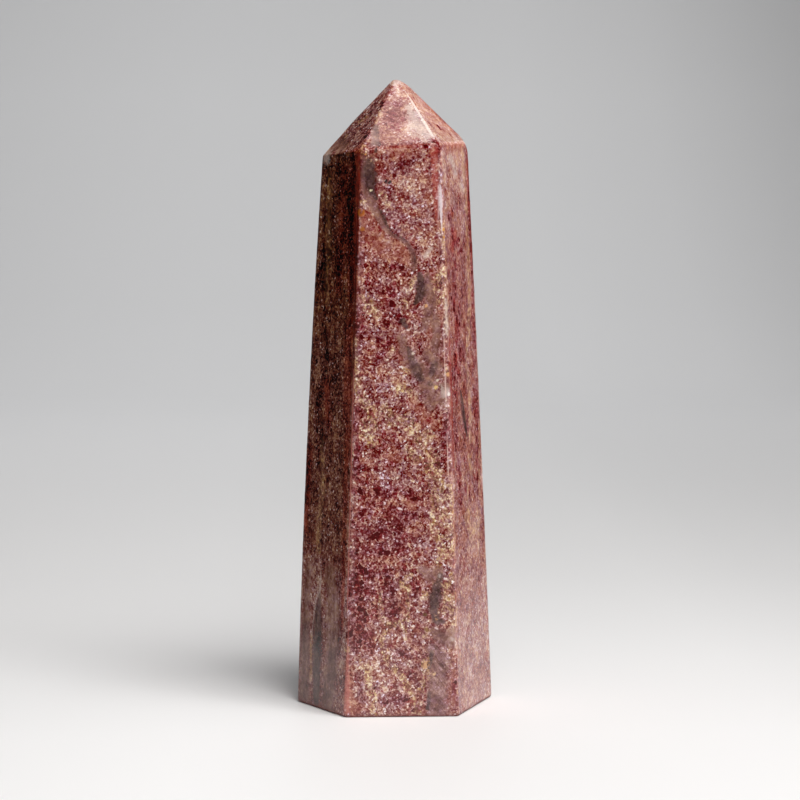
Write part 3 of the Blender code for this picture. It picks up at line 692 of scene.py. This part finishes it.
# single spots on the front in another colour: a stroke as above, and its colour as it should look, 0 to 255
frontSpots = [
    ((-8.6, 118.3, 1.1), (176, 98, 30)), ((-8.6, 118.4, 0.45), (120, 50, 22)),
    ((-8.3, 114.5, 0.7), (168, 100, 40)), ((-6.3, 123.4, 0.45), (240, 225, 185)),
    ((-2.6, 125.5, 0.65), (34, 44, 40)), ((-1.9, 125.4, 0.5), (52, 60, 56)),
    ((-9.9, 106.4, 0.6), (30, 22, 24)), ((10.6, 114.4, 0.5), (214, 150, 60)),
    ((10.8, 112.6, 0.45), (200, 132, 50)), ((6.5, 96.6, 0.55), (226, 170, 120)),
    ((8.8, 77.6, 0.6), (232, 196, 130)), ((11.8, 76, 0.55), (244, 234, 226)),
    ((3.5, 85.5, 0.5), (226, 206, 190)), ((9.2, 79.2, 0.5), (228, 214, 196)),
    ((11.6, 80.6, 0.6), (214, 160, 110)), ((-0.4, 56.5, 0.45), (240, 226, 214)),
    ([(6.3, 13, 0.4), (6.2, 11.8, 0.6)], (206, 158, 116)), ((8.3, 10.1, 0.5), (224, 186, 146)),
    ((6.2, 24.2, 0.6), (96, 66, 34)), ((6.6, 20.6, 0.6), (140, 104, 50)),
    ((-2.4, 21.8, 0.35), (108, 88, 40)), ((2.2, 29.4, 0.4), (120, 84, 44)),
    ((9.8, 35.8, 0.5), (150, 96, 46)), ((-11.9, 15.8, 0.5), (206, 176, 146)),
    ((-7.6, 131.9, 0.4), (196, 132, 66)), ((-9, 132.6, 0.45), (206, 156, 96)),
    ((-6.6, 83.6, 0.4), (226, 200, 172)),
]
# thin lines along the worn edges, with painted light and shade: the pale lines on the tip's ridge and on the
# front edges are painted highlights, the dark red line on the left half of the front left edge is painted
# shade, and the red band on the front beside its right edge, from 114 mm up, is painted glow. Each gives the
# two facets, how far inside the first in mm, the height, half width and strength from bottom to top, and the
# colour as above
edgeHighlightAndShadeLines = [
    ("tipFront", "tipRight", 0.25, [(135.2, 0, 0.2), (136.4, 0.34, 0.45), (139, 0.36, 0.55),
     (143, 0.26, 0.6), (147, 0.12, 0.4), (148.5, 0, 0.2)], (250, 236, 226)),
    ("front", "right", 0.25, [(113, 0, 0.4), (116, 0.22, 0.8), (121, 0.46, 0.85), (124, 0.3, 0.7),
     (126.5, 0, 0.2)], (228, 212, 216)),
    ("front", "right", 1.35, [(114, 0, 0.2), (119, 0.5, 0.35), (126, 0.9, 0.5), (133.6, 0.9, 0.5)],
     (180, 74, 62)),
    ("front", "right", 0.45, [(55.5, 0, 0.3), (58, 0.14, 0.6), (66, 0.12, 0.5), (68, 0, 0.2), (73, 0, 0.2),
     (76, 0.2, 0.7), (80, 0.16, 0.6), (90, 0.14, 0.5), (93, 0, 0.2)], (236, 204, 194)),
    ("front", "left", 0.1, [(0.5, 0.9, 0.6), (8, 0.75, 0.55), (14, 0.4, 0.5), (19, 0.16, 0.5), (24, 0, 0.3)],
     (204, 124, 115)),
    ("front", "left", -0.3, [(22, 0, 0.3), (28, 0.22, 0.7), (60, 0.2, 0.7), (76, 0.12, 0.6), (82, 0, 0.3)],
     (204, 124, 115)),
    ("front", "left", -0.6, [(62, 0, 0.3), (80, 0.22, 0.8), (100, 0.3, 0.9), (118, 0.2, 0.8), (128, 0, 0.5)],
     (76, 16, 11)),
    ("right", "front", 1.1, [(54, 0, 0.2), (60, 0.8, 0.45), (88, 0.8, 0.5), (92, 0, 0.2)], (172, 66, 58)),
]
# how strongly light shines through beside the front left edge, by height
frontGlow = [(0, 0), (20, 0.05), (40, 0.25), (100, 0.45), (112, 0.6), (118, 1), (130, 1), (134, 0.5)]
# how the marks are laid on the points
marking = {
    "unmarked": -1.5,           # the share of a point far from any stroke
    "facing": (0.86, 0.97),     # how well a point looks a facet's way where its profiles start, and are full
    "depthCounts": 0.5,         # how much the way behind a facet's plane counts as distance from a stroke
    "lineReach": 1.6,           # mm from a thin line, where it stops
    "lineDepth": 1.2,           # mm behind its first facet, where it stops
}
# patches on the facets the photo doesn't show: size in mm, how strongly they come and go, and how rare
# they are
hiddenPatches = {
    "tan": (11.0, 3.0, 0.75),
    "grey": (17.0, 3.0, 2.1),
    "mauve": (17.0, 3.0, 1.1),
    "crimson": (12.0, 3.0, 0.1),
    "rose": (14.0, 3.0, 0.6),
    "pale": (9.0, 3.0, 0.7),
}
hiddenSeam = {"size": 26.0, "width": 0.03}      # one winding seam of mauve quartz there
# the heights in mm between which the wear and the painted shadow on the rim of the foot come or go, how
# strong that painted shadow is, and how far in the painted glow reaches from its edge
wearAndPaintedLight = {
    "edgeFades": (132.0, 133.5),
    "wornFades": (131.0, 132.5),
    "dullStarts": (132.0, 132.8),
    "dullEnds": (135.2, 136.0),
    "footShadowEnds": (0.35, 0.95),
    "footShadowDepth": 0.75,
    "glowEnds": (0.5, 2.2),
}


def facetDirections(facet):
    # out of the facet, and level along it to the right
    turn, tilt = (math.radians(angle) for angle in facets[facet][:2])
    out = np.array((math.sin(turn) * math.sin(tilt), -math.cos(turn) * math.sin(tilt), math.cos(tilt)))
    return out, np.array((math.cos(turn), math.sin(turn), 0.0))


def facetPlace(points, facet):
    # mm right of the facet's middle, mm up, and mm behind its plane
    out, across = facetDirections(facet)
    return points @ across, points[:, 2], facets[facet][2] - points @ out


def facing(normals, facet):
    # 1 where the surface looks the facet's way
    return shareBetween(normals @ facetDirections(facet)[0], *marking["facing"])


def strokeShare(place, stroke):
    # 1 along the middle of the stroke, 0 at its border and falling on outside
    across, up, depth = place
    best = np.full(len(across), marking["unmarked"])
    course = [stroke, stroke] if isinstance(stroke, tuple) else stroke
    for (x0, z0, r0), (x1, z1, r1) in zip(course, course[1:]):
        long = (x1 - x0) ** 2 + (z1 - z0) ** 2
        along = ((across - x0) * (x1 - x0) + (up - z0) * (z1 - z0)) / (long or 1.0)
        along = np.clip(along, 0.0, 1.0)
        away = np.sqrt((across - x0 - along * (x1 - x0)) ** 2 + (up - z0 - along * (z1 - z0)) ** 2
                       + (marking["depthCounts"] * depth) ** 2)
        best = np.maximum(best, 1.0 - away / (r0 + along * (r1 - r0)))
    return best


def mineralShares(points, normals):
    shares = {name: np.full(len(points), marking["unmarked"]) for name in stoneLook["borders"]}
    for (facet, name), strokes in minerals.items():
        place = facetPlace(points, facet)
        for stroke in strokes:
            shares[name] = np.maximum(shares[name], strokeShare(place, stroke))
    hidden = np.ones(len(points))
    for facet in facets:
        hidden *= 1.0 - facing(normals, facet)

    def addHidden(name, patch):
        shares[name] = np.maximum(shares[name], patch * hidden + marking["unmarked"] * (1.0 - hidden))

    for seed, (name, (size, spread, rarity)) in enumerate(hiddenPatches.items()):
        drift = smoothNoise(points / size, seed + 20) + 0.5 * smoothNoise(points / size * 2.1, seed + 40)
        addHidden(name, drift * spread - rarity)
    addHidden("mauve", 1.0 - np.abs(smoothNoise(points / hiddenSeam["size"], 61)) / hiddenSeam["width"])
    for name, profiles in facetProfiles.items():
        shares[name] = np.zeros(len(points))
        for facet, profile in profiles.items():
            shares[name] += facing(normals, facet) * np.interp(points[:, 2], *zip(*profile))
    return shares


def wearAndPaintedLightShares(points, normals, edge):
    # the worn edges, the dull shoulder, the painted shadow on the rim of the foot and the painted glow
    # beside the front left edge
    up = points[:, 2]

    def fading(value, stretch, most=1.0):
        return 1.0 - most * shareBetween(value, *wearAndPaintedLight[stretch])

    glow = facing(normals, "left") * fading(facetPlace(points, "front")[2], "glowEnds")
    return {
        "edge": edge * fading(up, "edgeFades", 0.7),
        "worn": edge * fading(up, "wornFades", 0.8),
        "dull": np.minimum(2.0 * edge, 1.0) * shareBetween(up, *wearAndPaintedLight["dullStarts"]) * fading(up, "dullEnds"),
        "foot": wearAndPaintedLight["footShadowDepth"] * fading(up, "footShadowEnds"),
        "glow": glow * np.interp(up, *zip(*frontGlow)),
    }


stoneLook = {
    "light": 1.10,          # how strongly the front is lit
    "sheen": 0.008,         # what the polish adds to it
    "roughness": 0.22,
    "fixed": {"IOR": 1.6, "Subsurface Radius": (1.0, 0.10, 0.05), "Subsurface Scale": 0.0022},
    "bump": {"Strength": 0.12, "Distance": 0.00004},
    # the grains' size in mm, and where in the noise they start
    "coarse": (1.25, 0.0),
    "medium": (0.66, 11.0),
    "fine": (0.36, 23.0),
    # clouds: how often they change per mm, their detail and roughness, and where in the noise they start
    "clouds": {
        "haze": (0.12, 3.0, 0.55, 40.0),
        "clump": (0.42, 2.0, 0.55, 70.0),
        "drift": (0.30, 3.0, 0.60, 55.0),
        "dust": (3.6, 2.0, 0.6, 90.0),
    },
    # where each mineral starts and is full, and how much each noise breaks up its border: every grain has
    # three random values, numbered from 0
    "borders": {
        "grey": (-0.35, 0.45, {"clump": 1.0, "medium0": 0.4}),
        "mauve": (-0.35, 0.5, {"clump": 1.0, "medium1": 0.4}),
        "tan": (-0.30, 0.35, {"coarse1": 0.7, "clump": 1.2}),
        "crimson": (-0.3, 0.6, {"coarse2": 0.9, "clump": 0.8}),
        "rose": (-0.3, 0.5, {"clump": 0.6}),
        "pale": (-0.3, 0.6, {"medium2": 0.8, "clump": 0.6}),
        "grain": (0.18, 0.38, {"dust": 0.6, "medium2": 0.6}),
        "dim": (-0.4, 0.6, {"clump": 0.8, "coarse2": 0.4}),
        "milky": (-0.4, 0.8, {"clump": 1.2, "fine1": 0.7}),
        "ember": (-0.5, 0.7, {"clump": 0.8, "strand": 0.8}),
        "fibre": (-0.2, 0.3, {"clump": 0.6}),
    },
    # brightness: the middle between the grains, how much each noise adds, and how much paler each mineral is
    "middle": 0.380,
    "grit": {"coarse0": 0.10, "medium0": 0.24, "fine2": 0.28, "dust": 0.27},
    "drifts": {"haze": 0.48, "clump": 0.34},
    "tones": {"crimson": -0.05, "pale": 0.09, "tan": 0.02, "rose": 0.01, "grey": -0.08, "mauve": 0.01,
              "deep": -0.07, "gem": -0.25, "dim": -0.10, "dull": 0.06, "edge": 0.02},
    # where other things start and are full: deep and gem are crimson grains, speck and ochre are tan ones
    "steps": {"deep": (0.86, 0.99), "gem": (0.08, 0.10), "gemFlaw": (0.02, 0.20), "seamLine": (0.02, 0.16),
              "seamGap": (0.35, 0.95), "fleck": (0.92, 0.97), "warm": (-0.45, 0.45), "speck": (0.86, 0.98),
              "ochre": (1.05, 1.12), "glow": (0.25, 0.65), "spot": (0.0, 0.3), "line": (0.5, 1.1),
              "foot": (0.2, 0.5)},
    # the colours of each kind of grain from its darkest to its palest, as (brightness, colour)
    "salmon": [(0, (12, 1, 1)), (0.08, (60, 7, 6)), (0.18, (104, 27, 21)), (0.27, (126, 55, 46)),
               (0.36, (147, 83, 73)), (0.45, (168, 110, 97)), (0.55, (190, 139, 124)),
               (0.67, (212, 171, 155)), (0.86, (244, 227, 213))],
    "rose": [(0, (10, 1, 2)), (0.08, (56, 5, 11)), (0.18, (97, 20, 27)), (0.27, (113, 49, 53)),
             (0.35, (131, 77, 79)), (0.44, (150, 104, 105)), (0.54, (173, 133, 132)),
             (0.66, (202, 169, 164)), (0.85, (242, 225, 220))],
    "deep": [(0, (22, 0, 3)), (0.1, (66, 2, 11)), (0.22, (106, 9, 24)), (0.34, (134, 30, 42)),
             (0.48, (160, 82, 82)), (0.68, (208, 162, 154))],
    "tan": [(0, (26, 12, 8)), (0.12, (84, 46, 33)), (0.26, (126, 84, 66)), (0.38, (160, 118, 94)),
            (0.48, (186, 146, 120)), (0.6, (212, 179, 151)), (0.74, (234, 210, 185)),
            (0.9, (248, 239, 224))],
    "ochre": [(0, (24, 12, 4)), (0.12, (78, 42, 18)), (0.3, (132, 84, 44)), (0.45, (170, 122, 72)),
              (0.62, (206, 166, 114)), (0.85, (240, 220, 182))],
    "grey": [(0, (12, 9, 8)), (0.08, (36, 24, 22)), (0.18, (64, 43, 39)), (0.28, (90, 64, 60)),
             (0.38, (118, 88, 82)), (0.48, (146, 114, 106)), (0.6, (180, 148, 138)), (0.8, (220, 198, 190))],
    "mauve": [(0, (16, 8, 7)), (0.08, (48, 22, 20)), (0.18, (78, 42, 37)), (0.28, (104, 64, 57)),
              (0.38, (132, 90, 83)), (0.48, (158, 117, 109)), (0.6, (186, 150, 141)),
              (0.8, (222, 198, 190))],
    # tints and single colours
    "brown": (0.90, 0.76, 0.42, 1.0),
    "ember": (0.90, 0.45, 0.40, 1.0),
    "milky": (0.62, 0.52, 0.47, 1.0),
    # painted shadow: a dark red for the rim of the foot, where the stone meets the floor
    "foot": (0.17, 0.03, 0.022, 1.0),
    "red": (1.12, 0.90, 0.88, 1.0),
    # painted glow: a dark red for the left facet beside the front left edge, where light shines through
    "glow": (0.30, 0.024, 0.012, 1.0),
    # a slight leaning to yellow, none, and to violet
    "leaning": [(0.0, (1.05, 1.02, 0.62)), (0.5, (1.0, 1.0, 1.0)), (1.0, (0.96, 0.95, 1.42))],
}


def seenFromColour(colour):
    # a colour as it should look in this light, 0 to 255, turned into the stone's own colour
    seen = [((value / 255.0 + 0.055) / 1.055) ** 2.4 for value in colour]
    return tuple(max(value - stoneLook["sheen"], 0.0005) / stoneLook["light"] for value in seen)


def makeStoneMaterial(look):
    material = bpy.data.materials.new("polishedRhodonite")
    n = Nodes(material)
    at = n.attribute
    shader = material.node_tree.nodes["Principled BSDF"]
    # lengths in mm from here on
    place = n.add("ShaderNodeVectorMath", {"operation": "SCALE"}, Scale=1000.0)
    n.plug(place, 0, n.add("ShaderNodeTexCoord").outputs["Object"])
    place = place.outputs[0]

    def vector(operation, *values):
        return n.reckon("ShaderNodeVectorMath", operation, *values).outputs[0]

    def cloud(scale, detail, rough, shift):
        where = vector("ADD", place, (shift, shift * 0.7, -shift))
        return n.add("ShaderNodeTexNoise", Vector=where, Scale=scale, Detail=detail, Roughness=rough).outputs

    def grains(where, size, shift):
        where = vector("ADD", where, (shift, -shift, shift * 0.5))
        cell = n.add("ShaderNodeTexVoronoi", Vector=where, Scale=1.0 / size)
        return n.add("ShaderNodeSeparateColor", Color=cell.outputs["Color"]).outputs

    def stretched(scale, **rows):
        # noise drawn out along one direction: each row is a direction and how quickly it changes along it
        for axis, row in rows.items():
            rows[axis] = n.reckon("ShaderNodeVectorMath", "DOT_PRODUCT", place, row).outputs["Value"]
        where = n.add("ShaderNodeCombineXYZ", **rows).outputs[0]
        streaks = n.add("ShaderNodeTexNoise", Vector=where, Scale=scale, Detail=4.0, Roughness=0.65)
        return streaks.outputs["Fac"]

    def centred(value, weight):
        return n.math("MULTIPLY", n.math("SUBTRACT", value, 0.5), weight)

    def total(*values):
        result = values[0]
        for value in values[1:]:
            result = n.math("ADD", result, value)
        return result

    def times(value, weight):
        return n.math("MULTIPLY", value, weight)

    def rest(value):
        return n.math("SUBTRACT", 1.0, value)

    def larger(first, second):
        return n.math("MAXIMUM", first, second)

    def stepped(name, value):
        return n.step(value, *look["steps"][name])

    # grains of three sizes, the larger ones with bent borders, and clouds that run through them
    bent = vector("MULTIPLY_ADD", cloud(0.9, 2.0, 0.6, 3.0)["Color"], (0.5, 0.5, 0.5), place)
    coarse = grains(bent, *look["coarse"])
    medium = grains(bent, *look["medium"])
    fine = grains(place, *look["fine"])
    noises = {name: cloud(*setting)["Fac"] for name, setting in look["clouds"].items()}
    for name, cells in (("coarse", coarse), ("medium", medium), ("fine", fine)):
        noises.update({name + str(index): cells[index] for index in range(3)})
    clump, drift, dust = noises["clump"], noises["drift"], noises["dust"]
    strand = stretched(0.42, X=(1.0, 0.0, 0.0), Y=(0.0, 1.0, 0.0), Z=(0.0, 0.0, 0.25))
    fibre = stretched(1.5, X=(0.79, 0.0, 0.61), Y=(0.0, 0.4, 0.0), Z=(0.07, 0.0, -0.09))
    noises["strand"] = strand

    def broken(weights):
        return [centred(noises[name], weight) for name, weight in weights.items()]

    # where each mineral shows, with its border broken up grain by grain
    here = {}
    for name, (low, high, ragged) in look["borders"].items():
        here[name] = n.step(total(at(name), *broken(ragged)), low, high)
    glassy = larger(here["grey"], here["mauve"])
    softDust = total(clump, centred(dust, 0.4))

    # some coarse grains are one deep crimson, and pale lines run between grains
    deep = total(coarse[1], times(here["crimson"], 0.22), centred(fine[0], 0.26), centred(clump, 0.5))
    deep = times(stepped("deep", deep), rest(glassy))
    gem = rest(stepped("gem", total(coarse[0], centred(dust, 0.05))))
    gem = larger(times(gem, here["crimson"]), here["grain"])
    gem = times(gem, stepped("gemFlaw", total(fine[2], centred(dust, 1.0))))
    rim = n.add("ShaderNodeTexVoronoi", {"feature": "DISTANCE_TO_EDGE"}, Vector=bent,
                Scale=1.0 / look["coarse"][0])
    seamLine = times(rest(stepped("seamLine", rim.outputs["Distance"])),
                     stepped("seamGap", total(fine[2], times(clump, 0.6))))
    # brightness: grains of three sizes, quieter in rose and glassy places and inside deep grains
    quiet = larger(larger(times(here["rose"], 0.38), times(glassy, 0.72)), times(gem, 0.5))
    calm = times(rest(quiet), rest(at("calm")))
    streaky = total(times(centred(strand, 1.6), at("strand")), times(centred(fibre, 0.7), here["fibre"]))
    fleck = stepped("fleck", fine[0])
    grit = total(*broken(look["grit"]), times(fleck, 0.40), times(seamLine, 0.18), -0.03)
    weighed = {**here, "deep": deep, "gem": gem, "dull": at("dull"), "edge": at("edge")}
    paler = [times(weighed[name], weight) for name, weight in look["tones"].items()]
    tone = total(times(grit, calm), *broken(look["drifts"]), look["middle"], *paler, at("shade"), streaky)
    tone = n.math("SMOOTH_MAX", tone, larger(total(0.12, at("shade")), 0.0), 0.12)

    def band(name, value=tone):
        return n.ramp(value, [(stop, seenFromColour(shade)) for stop, shade in look[name]])

    warm = total(centred(drift, 2.2), centred(medium[1], 0.5), times(here["rose"], 0.5),
                 times(here["crimson"], -0.25))
    colour = n.mixColour(stepped("warm", warm), band("rose"), band("salmon"))
    reddened = larger(times(deep, 0.7), times(here["crimson"], 0.22))
    for share, name in ((reddened, "deep"), (larger(here["mauve"], at("earth")), "mauve"),
                        (here["grey"], "grey"), (times(gem, 0.95), "deep")):
        colour = n.mixColour(share, colour, band(name))
    # tan comes as pale specks and a few ochre ones over the pink
    speck = stepped("speck", total(times(fine[1], 0.7), times(medium[1], 0.5), times(here["tan"], 0.25)))
    ochre = stepped("ochre", total(medium[2], times(clump, 0.5)))
    dry = n.mixColour(ochre, band("tan", total(tone, 0.04)), band("ochre"))
    colour = n.mixColour(times(speck, here["tan"]), colour, dry)
    leaning = total(0.5, centred(fine[0], 0.22), centred(medium[2], 0.30), centred(clump, -0.6),
                    times(here["grey"], 0.08), times(here["tan"], -0.06), times(here["crimson"], 0.05),
                    times(here["fibre"], 0.12))
    colour = n.mixColour(1.0, colour, n.ramp(leaning, look["leaning"]), "MULTIPLY")
    brownHere = times(at("brown"), rest(times(fleck, 0.6)))
    for share, name in ((brownHere, "brown"), (at("red"), "red"), (here["ember"], "ember")):
        colour = n.mixColour(share, colour, look[name], "MULTIPLY")
    # painted glow: the left facet beside the front left edge is mixed towards a dark red, for light that
    # shines through the edge
    glowHere = times(at("glow"), stepped("glow", softDust))
    for share, name in ((times(here["milky"], 0.5), "milky"), (glowHere, "glow")):
        colour = n.mixColour(share, colour, look[name])
    # the single spots, the thin lines along the edges with their painted highlights and painted shade, and
    # the painted shadow on the rim of the foot
    accent = n.add("ShaderNodeAttribute", {"attribute_name": "spot"}).outputs
    spotHere = times(stepped("spot", total(accent["Alpha"], centred(dust, 0.8))), 0.85)
    colour = n.mixColour(spotHere, colour, accent["Color"])
    lining = n.add("ShaderNodeAttribute", {"attribute_name": "line"}).outputs
    fromLine = total(n.math("ABSOLUTE", at("lineAt")), centred(dust, 0.9), centred(fine[0], 0.5))
    colour = n.mixColour(times(rest(stepped("line", fromLine)), lining["Alpha"]), colour, lining["Color"])
    colour = n.mixColour(times(at("foot"), stepped("foot", softDust)), colour, look["foot"])
    n.plug(shader, "Base Color", colour)

    gloss = total(look["roughness"], times(here["tan"], 0.10), times(glassy, -0.04), centred(fine[1], 0.08),
                  times(at("worn"), 0.22), times(at("foot"), 0.2))
    n.plug(shader, "Roughness", gloss)
    # chipped edges and the brown stone shine less
    shine = total(0.5, times(at("dull"), -0.5), times(at("brown"), -0.3))
    n.plug(shader, "Specular IOR Level", larger(shine, 0.0))
    # light that goes in by the thin front edges comes out red beside them
    n.plug(shader, "Subsurface Weight", times(at("glow"), 0.5))
    for name, value in look["fixed"].items():
        shader.inputs[name].default_value = value
    bump = n.add("ShaderNodeBump", Height=total(fine[1], times(medium[1], 0.8)), **look["bump"])
    n.plug(shader, "Normal", bump.outputs["Normal"])
    return material


def writeLayer(mesh, name, values):
    if values.ndim > 1:
        layer, field = mesh.attributes.new(name, "FLOAT_COLOR", "POINT"), "color"
    else:
        layer, field = mesh.attributes.new(name, "FLOAT", "POINT"), "value"
    layer.data.foreach_set(field, values.astype(np.float32).ravel())


def writeSpots(mesh, points):
    place = facetPlace(points, "front")
    colours = np.tile((0.0, 0.0, 0.0, -1.0), (len(points), 1))
    for streak, colour in frontSpots:
        share = strokeShare(place, streak)
        here = (share > colours[:, 3]) | (share > 0.0)
        colours[here, :3] = seenFromColour(colour)
        colours[here, 3] = share[here]
    writeLayer(mesh, "spot", colours)


def writeLines(mesh, points):
    # how far each point is from the nearest thin line, in half widths of it, and its colour and strength
    nearest = np.full(len(points), 99.0)
    colours = np.zeros((len(points), 4))
    up = points[:, 2]
    for first, second, inside, course, colour in edgeHighlightAndShadeLines:
        heights, widths, strengths = zip(*course)
        behind = facetPlace(points, first)[2]
        away = facetPlace(points, second)[2] - inside - np.maximum(behind, 0.0)
        width = np.interp(up, heights, widths, 0.0, 0.0)
        value = away / np.maximum(width, 0.02)
        here = (np.abs(away) < marking["lineReach"]) & (behind < marking["lineDepth"])
        here &= (width > 0.0) & (np.abs(value) < np.abs(nearest))
        nearest[here] = value[here]
        colours[here, :3] = seenFromColour(colour)
        colours[here, 3] = np.interp(up, heights, strengths)[here]
    writeLayer(mesh, "lineAt", nearest)
    writeLayer(mesh, "line", colours)


stone = linkToScene(bpy.data.objects.new("rhodoniteStone", stoneMesh))
shares = mineralShares(stonePoints, stoneNormals) | wearAndPaintedLightShares(stonePoints, stoneNormals, stoneEdge)
for name, values in shares.items():
    writeLayer(stoneMesh, name, np.clip(values, -1.5, 1.0))
writeSpots(stoneMesh, stonePoints)
writeLines(stoneMesh, stonePoints)
stoneMesh.materials.clear()
stoneMesh.materials.append(makeStoneMaterial(stoneLook))
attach(stone, "root")
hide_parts("rhodonite_point")
print("stone ready")
